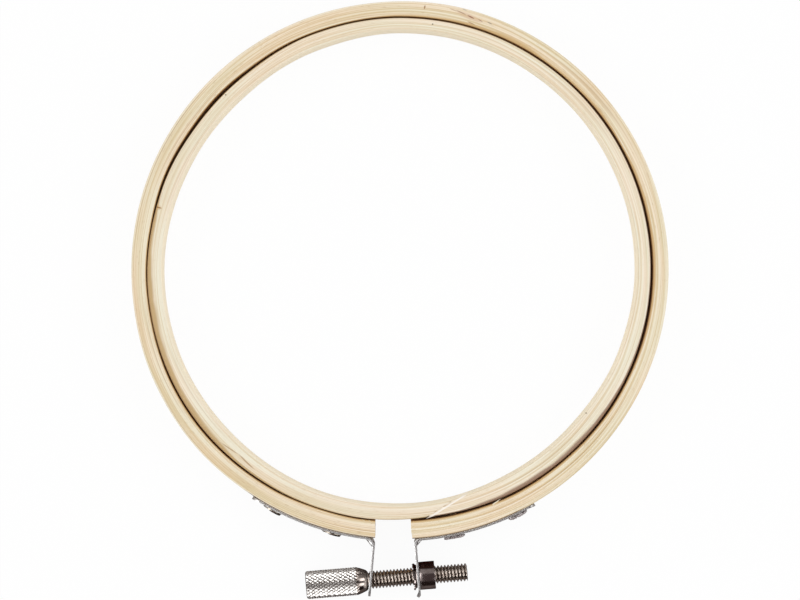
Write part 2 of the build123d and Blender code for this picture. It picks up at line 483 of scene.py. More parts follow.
# %% Radii round the rings
# Angles in degrees, anticlockwise from +X. Radii and gaps in millimetres.
inner_edge_by_angle = {
    0: 58.35, 45: 58.5, 75: 58.58, 90: 58.5, 110: 58.26, 130: 57.7, 143: 57.72, 160: 58.2,
    185: 58.68, 215: 58.84, 240: 58.5, 258: 58.32, 280: 57.75, 300: 58.14, 330: 58.28,
}
window_edge_by_angle = {
    0: 55.33, 20: 55.47, 45: 55.66, 75: 55.85, 90: 55.76, 110: 55.15, 135: 54.62, 150: 54.78,
    180: 55.28, 200: 55.25, 225: 54.98, 250: 55.12, 270: 54.86, 300: 54.22, 318: 54.25, 340: 54.9,
}
outer_edge_by_angle = {
    0: 62.5, 75: 62.52, 100: 62.25, 185: 62.22, 205: 62.55, 220: 62.66, 237: 62.5,
}
gap_by_angle = {
    0: 0.56, 30: 0.5, 50: 0.42, 75: 0.34, 95: 0.34, 110: 0.34, 122: 0.52, 136: 0.8, 150: 0.66,
    160: 0.54, 172: 0.22, 190: 0.14, 207: 0.36, 240: 0.38, 250: 0.2, 262: 0.3, 280: 0.64,
    292: 0.46, 310: 0.34, 330: 0.54, 350: 0.63,
}
widest_lower_gap = 0.6


def round_the_ring(by_angle, angle):
    """The value at an angle, eased between the two nearest that are given."""
    stops = sorted(by_angle)
    angle %= 360
    after = next((stop for stop in stops if stop > angle), stops[0] + 360)
    before = max((stop for stop in stops if stop <= angle), default=stops[-1] - 360)
    share = (angle - before) / (after - before)
    share = share * share * (3 - 2 * share)
    return by_angle[before % 360] * (1 - share) + by_angle[after % 360] * share


def inner_edge(angle, height=0.0):
    """The inner hoop's outside radius, the same at every height."""
    return round_the_ring(inner_edge_by_angle, angle) * mm


def window_edge(angle, height=0.0):
    """The inner hoop's inside radius, the same at every height."""
    return round_the_ring(window_edge_by_angle, angle) * mm


def outer_edge(angle, height=0.0):
    """The outer hoop's outside radius, the same at every height."""
    return round_the_ring(outer_edge_by_angle, angle) * mm


def bore_edge(angle, height):
    """The outer hoop's inside radius at a height."""
    height_share = (height + half_height) / (2 * half_height)
    top_gap = round_the_ring(gap_by_angle, angle)
    bottom_gap = min(top_gap, widest_lower_gap)
    gap = bottom_gap + (top_gap - bottom_gap) * height_share
    return inner_edge(angle) + gap * mm


def angle_of(point):
    """A point's angle round the hoops, in degrees from 0 to 360."""
    return atan2(point.y, point.x) / tau * 360 % 360


def around(angle, radius, height=0.0):
    """The point at an angle and radius round the hoops' axis."""
    return Vector((radius * cos(radians(angle)), radius * sin(radians(angle)), height))


right_gap = bore_edge(0, half_height) - inner_edge(0)
print("gap at the right", round(right_gap / mm, 2), "mm")

# %% [markdown]
# ## Outer hoop
#
# A strip of constant section, bent round: its section is a plane with rounded corners, and
# Spin carries it round the axis like the bending form does. Both ends are then sawn off at
# the gap, the left one upright in the picture and the right one at a slight slant.

# %% Outer hoop: section and spin
bore_radius = 59.0 * mm
strip_corner = 0.4 * mm
corner_steps = 4
face_cuts = 8
ring_steps = 720
outer_start, outer_end = -88.9, 266.0  # degrees, past both sides of the gap


def spin_about(centre, degrees, steps):
    """Spin what is selected about an upright axis, anticlockwise seen from above."""
    bpy.ops.mesh.spin(steps=steps, angle=-radians(degrees), center=centre, axis=(0, 0, 1))


def spun_strip(name, inside, outside, first_angle, last_angle):
    """A rounded rectangle between two radii, spun about the hoops' axis from angle to angle."""
    wall = outside - inside
    middle = (inside + outside) / 2
    turn = radians(first_angle)
    bpy.ops.object.select_all(action="DESELECT")
    bpy.ops.mesh.primitive_plane_add(
        size=1, location=(middle * cos(turn), middle * sin(turn), 0), rotation=(pi / 2, 0, turn)
    )
    bpy.context.object.scale = (wall, 2 * half_height, 1)
    strip = take(name)
    select_in(strip, "corners", everything)
    bpy.ops.mesh.bevel(offset=strip_corner, segments=corner_steps, affect="VERTICES")
    select_in(strip, "edges", lambda a, b: a.z == b.z and (a - b).length > wall / 2)
    bpy.ops.mesh.subdivide(number_cuts=face_cuts)
    select_in(strip, "faces", everything)
    sweep = last_angle - first_angle
    spin_about(Vector((0, 0, 0)), sweep, ceil(ring_steps * sweep / 360))
    bpy.ops.object.mode_set(mode="OBJECT")
    return strip


outer_hoop = spun_strip("outer_hoop_strip", bore_radius, outer_radius, outer_start, outer_end)
print(len(outer_hoop.data.polygons), "faces after the spin")

# %% [markdown]
# The spun strip overruns the gap at both ends. Bisect saws it there: a plane that passes
# through a point, and which side of it is thrown away. Only the faces near the gap are
# selected, so the same plane leaves the far side of the ring alone.

# %% Outer hoop: saw the ends
left_end = Vector((-5.65 * mm, 0, 0))
right_end = Vector((2.6 * mm, -bore_radius, 0))
right_end_slant = radians(7)


def low_between(left, right):
    """Choose the faces low in the picture whose middles lie between two places along X."""
    return lambda centre, normal: centre.y < 0 and left < centre.x < right


def saw(piece, near, place, normal):
    """Cut the faces that near chooses at a plane, and drop the side that normal points to."""
    select_in(piece, "faces", near)
    bpy.ops.mesh.bisect(plane_co=place, plane_no=normal, use_fill=True, clear_outer=True)
    bpy.ops.object.mode_set(mode="OBJECT")


saw(outer_hoop, low_between(-12 * mm, -1 * mm), left_end, (1, 0, 0))
saw(
    outer_hoop,
    low_between(-1 * mm, 9 * mm),
    right_end,
    (-cos(right_end_slant), -sin(right_end_slant), 0),
)
close_up(outer_hoop)
describe(outer_hoop)

# %% [markdown]
# Now the ring gets the edge radii that were read off the photograph. Each corner keeps its
# share of the wall, from 0 at the bore to 1 outside, while the bore moves.

# %% Outer hoop: true edges
edge_sag_by_angle = {
    0: 0.25, 20: 0.15, 40: 0.05, 52: 0.0, 60: 0.3, 70: 0.25, 80: 0.0, 325: 0.0, 345: 0.2,
}
sag_reach = 1.1 * mm


def shape_ring(ring, place_of):
    """Move each corner of a ring to the radius and height that place_of gives for it."""
    for corner in ring.data.vertices:
        radius, height = place_of(corner.co)
        turn = atan2(corner.co.y, corner.co.x)
        corner.co = (radius * cos(turn), radius * sin(turn), height)


def sagged(height, depth, distance):
    """A top edge's height, where the edge has worn down by depth within sag_reach of it."""
    near_edge = max(0, 1 - distance / sag_reach)
    near_top = max(0, height / half_height)
    return height - depth * near_edge**2 * near_top


def outer_place(point):
    """Where a corner of the outer hoop lies once the hoop has its true edges."""
    angle = angle_of(point)
    share = (hypot(point.x, point.y) - bore_radius) / (outer_radius - bore_radius)
    bore = bore_edge(angle, point.z)
    radius = bore + share * (outer_edge(angle) - bore)
    depth = round_the_ring(edge_sag_by_angle, angle) * mm
    return radius, sagged(point.z, depth, radius - bore)


shape_ring(outer_hoop, outer_place)
describe(outer_hoop)

# %% [markdown]
# The rivets' tails lie in four shallow pockets, which are drilled into the bore. The next step
# notes where each corner lies along, across and up the strip, in an attribute, because the
# grain of a bent strip follows its length and not the straight axes of the scene. The edges
# that the saw and the drill left are then eased.

# %% Outer hoop: pockets and grain
rivet_angles = {
    "left_gap_rivet": -104.5, "left_tail_rivet": -117.9,
    "right_gap_rivet": -78.3, "right_tail_rivet": -64.3,
}
pocket_radius, pocket_mouth, pocket_floor = 1.95 * mm, 57.5 * mm, 59.6 * mm
saw_bevel = 0.12 * mm
outer_grain_start = 270
# How far the painted shade of the gap's edge reaches, in millimetres.
outer_reach_by_angle = {
    0: 0.8, 20: 0.85, 30: 0.45, 40: 0.7, 52: 0.5, 61: 1.1, 72: 0.75, 85: 0.4, 100: 0.2, 200: 0.25,
    290: 0.4, 305: 0.55, 330: 0.3, 350: 0.55,
}


def note_grain(
    strip, wall, middle_radius, start_angle, low_edge, high_edge, gap_side, reach_by_angle
):
    """Store where each corner lies on a strip that starts at start_angle.

    The grain is its place along, across and up the strip, and so follows the strip's edges.
    The rim is its distance from the edge at the gap, its depth below the top, and how far from
    that edge the painted edge shade reaches at that angle. gap_side is 0 where the low edge is the
    one at the gap, and 1 where it is the high edge.
    """
    grain = strip.data.attributes.new("grain", "FLOAT_VECTOR", "POINT")
    rim = strip.data.attributes.new("rim", "FLOAT_VECTOR", "POINT")
    for corner, place, edge in zip(strip.data.vertices, grain.data, rim.data):
        angle, radius, height = angle_of(corner.co), corner.co.xy.length, corner.co.z
        low, high = low_edge(angle, height), high_edge(angle, height)
        share = (radius - low) / (high - low)
        along = radians((angle - start_angle) % 360) * middle_radius
        place.vector = (along, (share - 0.5) * wall, height)
        reach = round_the_ring(reach_by_angle, angle) * mm
        edge.vector = (abs(radius - (low, high)[gap_side]), half_height - height, reach)


for angle in rivet_angles.values():
    middle = around(angle, (pocket_mouth + pocket_floor) / 2)
    sideways = (0, pi / 2, radians(angle))
    drill(outer_hoop, middle, sideways, pocket_radius, pocket_floor - pocket_mouth)
outer_wall = outer_radius - bore_radius
outer_middle = (bore_radius + outer_radius) / 2
note_grain(
    outer_hoop, outer_wall, outer_middle, outer_grain_start, bore_edge, outer_edge, 0,
    outer_reach_by_angle,
)
round_edges(outer_hoop, saw_bevel, 50)
describe(outer_hoop)

# %% [markdown]
# Where the strip was split from the culm, a few fibres have torn loose and reach into the gap.
# Each is a thin cone, and they are joined to the hoop.

# %% Outer hoop: loose fibres
fibre_rows = [
    # root angle and radius, tip angle and radius, root thickness, in degrees and millimetres
    (291.7, 58.62, 293.8, 58.12, 0.17),
    (292.2, 58.6, 293.3, 58.42, 0.12),
    (263.9, 59.2, 263.0, 58.5, 0.2),
    (262.2, 58.9, 261.4, 58.55, 0.12),
]
root_depth, tip_depth = 0.05 * mm, 0.2 * mm
for root_angle, fibre_root, tip_angle, fibre_tip, thickness in fibre_rows:
    root = around(root_angle, fibre_root * mm, half_height - root_depth)
    tip = around(tip_angle, fibre_tip * mm, half_height - tip_depth)
    run = tip - root
    bpy.ops.object.select_all(action="DESELECT")
    bpy.ops.mesh.primitive_cone_add(
        vertices=10, radius1=thickness * mm, radius2=thickness * mm / 4, depth=run.length,
        location=(root + tip) / 2, rotation=run.to_track_quat("Z", "Y").to_euler(),
    )
    fibre = take("loose_fibre")
    for name, value in (("grain", root), ("rim", (outer_wall, 0, mm))):
        for noted in fibre.data.attributes.new(name, "FLOAT_VECTOR", "POINT").data:
            noted.vector = value
    join_to(outer_hoop, fibre)
describe(outer_hoop)

# %% [markdown]
# ## Inner hoop
#
# This ring is closed. Its strip's ends are planed to long wedges that are glued together, and
# the joint shows as a slanting line. Two half rings are spun, each is sawn along that line on
# its own side, and they are joined at the far side, so that the grain stops at the joint as it
# does on the real ring.

# %% Inner hoop: two halves and their scarf joint
scarf_outer_end = Vector((6.3 * mm, -57.9 * mm, 0))
scarf_inner_end = Vector((17.54 * mm, -50.86 * mm, 0))
scarf_glue = 0.004 * mm
scarf_overrun = 3.5  # degrees that each half is spun past the joint before it is sawn

scarf_run = (scarf_inner_end - scarf_outer_end).normalized()
scarf_out = Vector((scarf_run.y, -scarf_run.x, 0))
scarf_outer_angle = angle_of(scarf_outer_end) - 360
scarf_inner_angle = angle_of(scarf_inner_end)
near_scarf = low_between(-6 * mm, 30 * mm)

right_start = scarf_outer_angle - scarf_overrun
right_half = spun_strip("right_half", window_radius, inner_radius, right_start, 90)
saw(right_half, near_scarf, scarf_outer_end + scarf_out * scarf_glue, -scarf_out)
left_stop = scarf_inner_angle + scarf_overrun
left_half = spun_strip("inner_hoop_strip", window_radius, inner_radius, 90, left_stop)
saw(left_half, near_scarf, scarf_outer_end - scarf_out * scarf_glue, scarf_out)
describe(right_half)
describe(left_half)

# %% [markdown]
# Each half gets its true edges and its grain before the two are joined, because the grain of
# one half runs on past the joint, where the other's begins. The outer wedge's thin tip has
# sprung loose and stands out into the gap.

# %% Inner hoop: true edges, then join the halves
inner_sag_by_angle = {
    0: 0.0, 160: 0.0, 175: 0.35, 220: 0.3, 232: 0.0, 284: 0.0, 296: 0.5, 322: 0.45, 338: 0.1,
}
# How far the painted shade of the gap's edge reaches, in millimetres.
inner_reach_by_angle = {
    0: 0.25, 90: 0.2, 128: 0.3, 150: 0.2, 161: 0.25, 170: 1.0, 190: 1.8, 222: 1.5, 231: 0.7,
    245: 0.3, 265: 0.2, 283: 0.3, 292: 0.9, 301: 1.35, 312: 1.3, 322: 1.0, 335: 0.5, 350: 0.3,
}
feather_length = 2.2 * mm
feather_lift = 0.3 * mm
inner_bevel = 0.02 * mm
right_grain_start, left_grain_start = 260, 80


def inner_place(point):
    """Where a corner of the inner hoop lies once the hoop has its true edges."""
    angle = angle_of(point)
    share = (hypot(point.x, point.y) - window_radius) / (inner_radius - window_radius)
    radius = window_edge(angle) + share * (inner_edge(angle) - window_edge(angle))
    depth = round_the_ring(inner_sag_by_angle, angle) * mm
    return radius, sagged(point.z, depth, inner_edge(angle) - radius)


def right_half_place(point):
    """The same for the right half, whose thin tip springs outwards."""
    radius, height = inner_place(point)
    from_tip = (Vector((point.x, point.y, 0)) - scarf_outer_end).dot(scarf_run)
    spring = max(0, 1 - max(0, from_tip) / feather_length) ** 2 if point.y < 0 else 0
    return radius + feather_lift * spring, height


def end_face(centre, normal):
    """True for the flat face that each half has at the far side of the ring."""
    return centre.y > 0 and abs(centre.x) < 0.01 * mm


shape_ring(right_half, right_half_place)
shape_ring(left_half, inner_place)
inner_wall = inner_radius - window_radius
inner_middle = (window_radius + inner_radius) / 2
for half, start_angle in ((right_half, right_grain_start), (left_half, left_grain_start)):
    note_grain(
        half, inner_wall, inner_middle, start_angle, window_edge, inner_edge, 1,
        inner_reach_by_angle,
    )
for noted in left_half.data.attributes["grain"].data:
    noted.vector.x += pi * inner_middle

for half in (right_half, left_half):
    select_in(half, "faces", end_face)
    bpy.ops.mesh.delete(type="ONLY_FACE")
join_to(left_half, right_half)
inner_hoop = left_half
close_up(inner_hoop)
round_edges(inner_hoop, inner_bevel, 50)
describe(inner_hoop)

# %% [markdown]
# ## Brackets
#
# Each bracket is a strip of plated sheet. It hugs the hoop's end, bends beside the gap and
# runs down to the screw, where its corners are rounded. The strip's cross-section is a plane:
# it is spun round the hoop, spun round the bend and extruded down the leg, as the sheet runs.
# Outlining the whole side view and extruding it sideways would work too, but the bend would
# then be a list of points in place of two turns.

# %% Brackets: the bent strip
sheet = 0.55 * mm
strip_width = 7.0 * mm
seat_radius = 62.55 * mm
left_bend_radius = 1.75 * mm
right_bend_radius = 0.8 * mm
leg_corner = 2.8 * mm
burr_round = 0.07 * mm
gusset_width = 2.2 * mm
tail_start = 2.9 * mm  # from the tail rivet's middle to where the strip lifts off the hoop
hugging_steps, bend_steps, end_steps = 40, 12, 8
tail_round_share = 0.75
dent_setback, dent_leg_share, dent_width_share = 1.6, 0.9, 0.5
rib_round_share = 0.3

# Which side of the gap a leg stands on, its reach sideways from the hoops' middle at the
# screw's axis, its lean in degrees, and how far it runs past that axis.
left_leg = (-1, 6.42 * mm, 5, 3.8 * mm)
right_leg = (1, 4.12 * mm, 4.7, 5.15 * mm)


def turn_between(first, second):
    """The angle in degrees from one flat direction to another, anticlockwise."""
    return atan2(first.x * second.y - first.y * second.x, first.dot(second)) / tau * 360


def leg_lines(side, reach, lean_degrees):
    """Which way a leg faces and runs, and where its gap side meets the screw's axis."""
    lean = radians(lean_degrees)
    away = Vector((side * cos(lean), sin(lean), 0))
    down = Vector((side * sin(lean), -cos(lean), 0))
    return away, down, screw_origin + screw_axis * (side * reach / screw_axis.x)


def bent_bracket(
    name, leg, bend_radius, gusset_leg, hole_radius, tail_rivet, tail_length, tail_lift
):
    """A bracket's sheet, with its rounded ends, its pressed gusset and the screw's hole."""
    side, reach, lean_degrees, overhang = leg
    away, down, at_screw = leg_lines(side, reach, lean_degrees)
    bend_outside = bend_radius + sheet
    offset = at_screw.dot(away) + bend_outside
    bend_centre = away * offset + down * sqrt((seat_radius + bend_outside) ** 2 - offset**2)
    kink_angle = rivet_angles[tail_rivet] + side * tail_start / seat_radius / tau * 360
    kink = around(kink_angle, seat_radius + sheet / 2)

    bpy.ops.object.select_all(action="DESELECT")
    upright = (pi / 2, 0, radians(kink_angle))
    bpy.ops.mesh.primitive_plane_add(size=1, location=kink, rotation=upright)
    bpy.context.object.scale = (sheet, strip_width, 1)
    bracket = take(name)
    select_in(bracket, "faces", everything)
    spin_about(Vector((0, 0, 0)), turn_between(kink, bend_centre), hugging_steps)
    spin_about(bend_centre, turn_between(-bend_centre, -away), bend_steps)
    leg_end = at_screw + down * overhang
    pull_out(down * (leg_end - bend_centre).dot(down))

    lifted = radians(90 - tail_lift) * side
    tail_way = Matrix.Rotation(lifted, 3, "Z") @ kink.normalized()
    select_in(bracket, "faces", lambda centre, normal: (centre - kink).length < tiny)
    pull_out(tail_way * tail_length)
    tail_end = kink + tail_way * tail_length
    leg_middle = leg_end + away * sheet / 2
    for end, radius in ((leg_middle, leg_corner), (tail_end, tail_length * tail_round_share)):
        select_in(
            bracket,
            "edges",
            lambda a, b: abs(a.z - b.z) < tiny and ((a + b) / 2 - end).xy.length < tiny,
        )
        bpy.ops.mesh.bevel(offset=radius, segments=end_steps, affect="EDGES")
    close_up(bracket)

    inside = bend_centre - bend_centre.normalized() * bend_radius - away * bend_radius
    along = Matrix.Rotation(-side * radians(90), 3, "Z") @ bend_centre.normalized()
    along *= 1 if along.dot(away) > 0 else -1
    rib = gusset("rib", inside, along, down, gusset_leg, gusset_width)
    carve(bracket, rib, "UNION")
    outside = inside - (along + down) * sheet * dent_setback
    dent_leg, dent_width = gusset_leg * dent_leg_share, gusset_width * dent_width_share
    dent = gusset("dent", outside, along, down, dent_leg, dent_width)
    carve(bracket, dent, "DIFFERENCE")
    along_screw = screw_axis.to_track_quat("Z", "Y").to_euler()
    drill(bracket, at_screw + away * sheet / 2, along_screw, hole_radius, 6 * sheet)
    close_up(bracket)
    return bracket


def gusset(name, corner, along, down, leg, width):
    """A three-cornered prism that fills a bend, with its slanting edges rounded."""
    bpy.ops.object.select_all(action="DESELECT")
    bpy.ops.mesh.primitive_circle_add(vertices=3, radius=leg, fill_type="NGON", location=corner)
    prism = take(name)
    places = (corner - (along + down) * tiny, corner + along * leg, corner + down * leg)
    for point, place in zip(prism.data.vertices, places):
        point.co = place - Vector((0, 0, width / 2))
    select_in(prism, "faces", everything)
    pull_out(Vector((0, 0, width)))
    close_up(prism)

    def slanting(a, b):
        from_corner = min((a - corner).xy.length, (b - corner).xy.length)
        return abs(a.z - b.z) < tiny and from_corner > leg / 2

    select_in(prism, "edges", slanting)
    bpy.ops.mesh.bevel(offset=width * rib_round_share, segments=4, affect="EDGES")
    bpy.ops.object.mode_set(mode="OBJECT")
    return prism


def curl_tip(bracket, leg, curl_length, curl_degrees):
    """Bend the last stretch of a leg towards the gap."""
    side, reach, lean_degrees, overhang = leg
    away, down, at_screw = leg_lines(side, reach, lean_degrees)
    fold = at_screw + down * (overhang - curl_length) + away * sheet

    def near_fold(centre, normal):
        return (centre - fold).dot(down) > -2 * curl_length

    select_in(bracket, "faces", near_fold)
    bpy.ops.mesh.bisect(plane_co=fold, plane_no=down)
    bpy.ops.object.mode_set(mode="OBJECT")
    curl = Matrix.Rotation(-side * radians(curl_degrees), 3, "Z")
    for corner in bracket.data.vertices:
        if (corner.co - fold).dot(down) > tiny:
            corner.co = fold + curl @ (corner.co - fold)


left_bracket = bent_bracket(
    "left_bracket_sheet", left_leg, left_bend_radius, gusset_leg=2.1 * mm,
    hole_radius=2.335 * mm, tail_rivet="left_tail_rivet", tail_length=2.5 * mm, tail_lift=6,
)
right_bracket = bent_bracket(
    "right_bracket_sheet", right_leg, right_bend_radius, gusset_leg=1.5 * mm,
    hole_radius=2.77 * mm, tail_rivet="right_tail_rivet", tail_length=1.8 * mm, tail_lift=8,
)
curl_tip(right_bracket, right_leg, curl_length=0.9 * mm, curl_degrees=35)
for bracket in (left_bracket, right_bracket):
    round_edges(bracket, burr_round)
    describe(bracket)

# %% [markdown]
# ## Turned pieces
#
# The knob, the nut and the rivets are turned shapes. Each starts as a disc whose face is
# extruded along the axis and scaled to the next radius, step by step, as a cutter follows a
# profile. It is made upright at the origin and then stood on the axis that carries it.

# %% Turned pieces: helpers


def turned(name, profile, corners=64):
    """A round solid on the Z axis. The profile lists its heights and radii from end to end."""
    (height, radius), *steps = profile
    bpy.ops.object.select_all(action="DESELECT")
    bpy.ops.mesh.primitive_circle_add(
        vertices=corners, radius=radius, fill_type="NGON", location=(0, 0, height)
    )
    piece = take(name)
    select_in(piece, "faces", everything)
    for next_height, next_radius in steps:
        pull_out(Vector((0, 0, next_height - height)))
        growth = next_radius / radius
        bpy.ops.transform.resize(value=(growth, growth, 1), center_override=(0, 0, next_height))
        height, radius = next_height, next_radius
    bpy.ops.object.mode_set(mode="OBJECT")
    close_up(piece)
    return piece


def stand(piece, place, axis, turn=0.0):
    """Put an upright piece's foot at a place, with its height along an axis."""
    upright = axis.to_track_quat("Z", "Y").to_matrix().to_4x4()
    work_on(piece)
    piece.matrix_world = Matrix.Translation(place) @ upright @ Matrix.Rotation(turn, 4, "Z")
    bpy.ops.object.transform_apply(location=True, rotation=True, scale=True)


def bore_out(piece, start, end, radius):
    """Cut a round hole up the Z axis from one height to another."""
    carve(piece, turned("bore", [(start, radius), (end, radius)]), "DIFFERENCE")


# %% [markdown]
# ## Screw rod
#
# A thread is one small profile that climbs by its pitch with each turn. The Screw modifier does
# just that: the profile of one pitch is an edge, and the modifier winds it up the rod. The
# open ends are then sawn flat.

# %% Screw rod
# Places along the screw's axis are measured from where it passes below the hoops' middle,
# towards the nut.
nose_place = -7.47 * mm
rod_end = 15.83 * mm
rod_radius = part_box("threaded_rod")[1].z
thread_pitch = 0.794 * mm
thread_depth = 0.45 * mm
crest_share, flank_share = 0.2, 0.3
thread_steps = 40
profile_cuts = 11
shank_radius = 1.6 * mm
shank_length = 6.0 * mm

root_radius = rod_radius - thread_depth
bpy.ops.object.select_all(action="DESELECT")
bpy.ops.mesh.primitive_plane_add(
    size=thread_pitch,
    location=(root_radius + thread_pitch / 2, 0, nose_place - thread_pitch),
    rotation=(pi / 2, 0, 0),
)
rod = take("threaded_rod_turned")
select_in(rod, "corners", lambda corner: corner.x > root_radius + thread_pitch / 2)
bpy.ops.mesh.delete(type="VERT")
select_in(rod, "edges", everything)
bpy.ops.mesh.subdivide(number_cuts=profile_cuts)
bpy.ops.object.mode_set(mode="OBJECT")
for corner in rod.data.vertices:
    from_crest = abs(corner.co.z - (nose_place - thread_pitch)) / thread_pitch
    rise = (crest_share / 2 + flank_share - from_crest) / flank_share
    corner.co.x = root_radius + thread_depth * min(1, max(0, rise))
apply_modifier(
    rod,
    "SCREW",
    axis="Z",
    screw_offset=thread_pitch,
    iterations=ceil((rod_end - nose_place) / thread_pitch) + 3,
    steps=thread_steps,
    render_steps=thread_steps,
    use_merge_vertices=True,
    merge_threshold=merge_distance,
    use_smooth_shade=True,
)
close_up(rod)


def sawn_nose(centre, normal):
    """True for the flat end that faces the knob."""
    return abs(centre.z - nose_place) < tiny and abs(normal.z) > 0.9


saw(rod, everything, Vector((0, 0, nose_place)), (0, 0, -1))
saw(rod, everything, Vector((0, 0, rod_end)), (0, 0, 1))
select_in(rod, "faces", sawn_nose)
pull_out(Vector((0, 0, 0)))
shrink = shank_radius / rod_radius
bpy.ops.transform.resize(value=(shrink, shrink, 1), center_override=(0, 0, nose_place))
pull_out(Vector((0, 0, -shank_length)))
close_up(rod)
stand(rod, screw_origin, screw_axis)
describe(rod)

# %% [markdown]
# ## Knurled knob
#
# A knurling wheel presses crossed grooves into the knob and leaves small diamonds. Poking every
# square of a plain grid puts a corner in its middle; with the straight edges dissolved, what
# is left between the corners is diamonds. Each is inset and raised, and the whole is then cut
# to the knob's outline, so that the cone and the chamfer slice through the pattern as the
# lathe does.

# %% Knurled knob
knob_back = -21.82 * mm
knob_radius = 3.28 * mm
knob_cone = 2.6 * mm
nose_radius = 2.435 * mm
back_chamfer = 0.3 * mm
knurl_depth = 0.22 * mm
knurl_inset = 0.28 * mm
diamonds_round = 24
diamond_length = 1.19 * mm


def round_side(centre, normal):
    """True for the faces round the knob, and not for its ends."""
    return abs(normal.z) < 0.5


row_count = ceil((nose_place - knob_back) / diamond_length) + 2
stock_radius = knob_radius - knurl_depth
rows = [(knob_back + (row - 1) * diamond_length, stock_radius) for row in range(row_count + 1)]
knob = turned("thumb_knob_knurled", rows, diamonds_round)
first_row, last_row = rows[0][0], rows[-1][0]
select_in(knob, "faces", round_side)
bpy.ops.mesh.poke()
bpy.ops.object.mode_set(mode="OBJECT")
for corner in knob.data.vertices:
    corner.co.xy *= stock_radius / corner.co.xy.length


def straight_inside(a, b):
    """True for the grid's own edges, away from both ends."""
    inside = first_row + tiny < (a.z + b.z) / 2 < last_row - tiny
    return inside and (abs(a.z - b.z) < tiny or (a - b).xy.length < tiny)


select_in(knob, "edges", straight_inside)
bpy.ops.mesh.dissolve_edges(use_verts=False)
select_in(knob, "faces", round_side)
bpy.ops.mesh.inset(use_individual=True, thickness=knurl_inset, depth=knurl_depth)
close_up(knob)
outline = turned(
    "knob_outline",
    [
        (knob_back, knob_radius - back_chamfer),
        (knob_back + back_chamfer, knob_radius),
        (nose_place - knob_cone, knob_radius),
        (nose_place - 1.6 * mm, 2.97 * mm),
        (nose_place - 0.9 * mm, 2.7 * mm),
        (nose_place - 0.3 * mm, nose_radius),
        (nose_place + 0.1 * mm, nose_radius - 0.35 * mm),
    ],
)
carve(knob, outline, "INTERSECT")
bore_back = nose_place - shank_length - back_chamfer
bore_out(knob, bore_back, nose_place + 1 * mm, shank_radius + tiny)
close_up(knob)
stand(knob, screw_origin, screw_axis)
describe(knob)

# %% [markdown]
# ## Clinch nut
#
# A round nut is pressed into the right bracket from outside, and the end of its thin collar
# is split and flared over the sheet on the gap side, so that it can't turn or fall out. The
# flare is a tube whose rim is opened out, slit into petals and left uneven.

# %% A flared and split rim
flare_corners = 96


def split_flare(name, path, petals, slit_share, wall, unevenness):
    """A tube along a path of heights and radii, whose rim is slit into uneven petals."""
    (height, radius), *steps = path
    bpy.ops.object.select_all(action="DESELECT")
    bpy.ops.mesh.primitive_circle_add(
        vertices=flare_corners, radius=radius, location=(0, 0, height)
    )
    flare = take(name)
    select_in(flare, "edges", everything)
    for next_height, next_radius in steps:
        climb = (0, 0, next_height - height)
        bpy.ops.mesh.extrude_edges_move(TRANSFORM_OT_translate={"value": climb})
        growth = next_radius / radius
        bpy.ops.transform.resize(value=(growth, growth, 1), center_override=(0, 0, next_height))
        height, radius = next_height, next_radius
    bpy.ops.object.mode_set(mode="OBJECT")
    split_start = steps[0][1]

    def in_slit(centre, normal):
        share = angle_of(centre) / 360 * petals % 1
        return centre.xy.length > split_start + tiny and share < slit_share

    select_in(flare, "faces", in_slit)
    bpy.ops.mesh.delete(type="FACE")
    bpy.ops.object.mode_set(mode="OBJECT")
    start_radius, end_radius = path[0][1], path[-1][1]
    # Sines of each petal's number and place lift it, crinkle it and give it its own length.
    for corner in flare.data.vertices:
        share = (corner.co.xy.length - start_radius) / (end_radius - start_radius)
        petal = floor(angle_of(corner.co) / 360 * petals)
        wobble = sin(petal * 2.4 + petals) * share**2
        crinkle = sin(angle_of(corner.co) / 360 * petals * tau * 2 + petal) * share * 0.3
        corner.co.z += unevenness * (wobble + crinkle)
        corner.co.xy *= 1 + unevenness * sin(petal * 4.1 + 1) * share**2 / end_radius
    apply_modifier(flare, "SOLIDIFY", thickness=wall, offset=0)
    close_up(flare)
    return flare


# %% Clinch nut
nut_radius = 3.27 * mm
nut_shank_radius = 2.7 * mm
nut_edge_round = 0.12 * mm
nut_bore_radius = 2.285 * mm
gap_face, nut_face, nut_end = 4.134 * mm, 4.684 * mm, 8.334 * mm
collar_wall = 0.3 * mm

collar_path = [
    # height above the sheet and radius
    (-0.3 * mm, 2.42 * mm),
    (0.1 * mm, 2.45 * mm),
    (0.35 * mm, 2.6 * mm),
    (0.55 * mm, 2.8 * mm),
    (0.72 * mm, 3.05 * mm),
]

nut = turned(
    "clinch_nut_turned",
    [
        (gap_face - 0.2 * mm, nut_shank_radius),
        (nut_face, nut_shank_radius),
        (nut_face, nut_radius),
        (nut_end, nut_radius),
    ],
)
bore_out(nut, gap_face - 1 * mm, nut_end + 1 * mm, nut_bore_radius)
round_edges(nut, nut_edge_round)
collar = split_flare(
    "nut_collar", collar_path, petals=9, slit_share=0.2, wall=collar_wall, unevenness=0.16 * mm
)
stand(collar, Vector((0, 0, gap_face)), Vector((0, 0, -1)))
join_to(nut, collar)
stand(nut, screw_origin, screw_axis)
describe(nut)

# %% [markdown]
# ## Rivets
#
# All four rivets go through a bracket and the hoop, with a flat tail in a shallow pocket of
# the bore. On the left their heads show: a flat flange with a button on it, struck a little
# off centre. On the right the split ends show, curled outwards into crinkled petals.

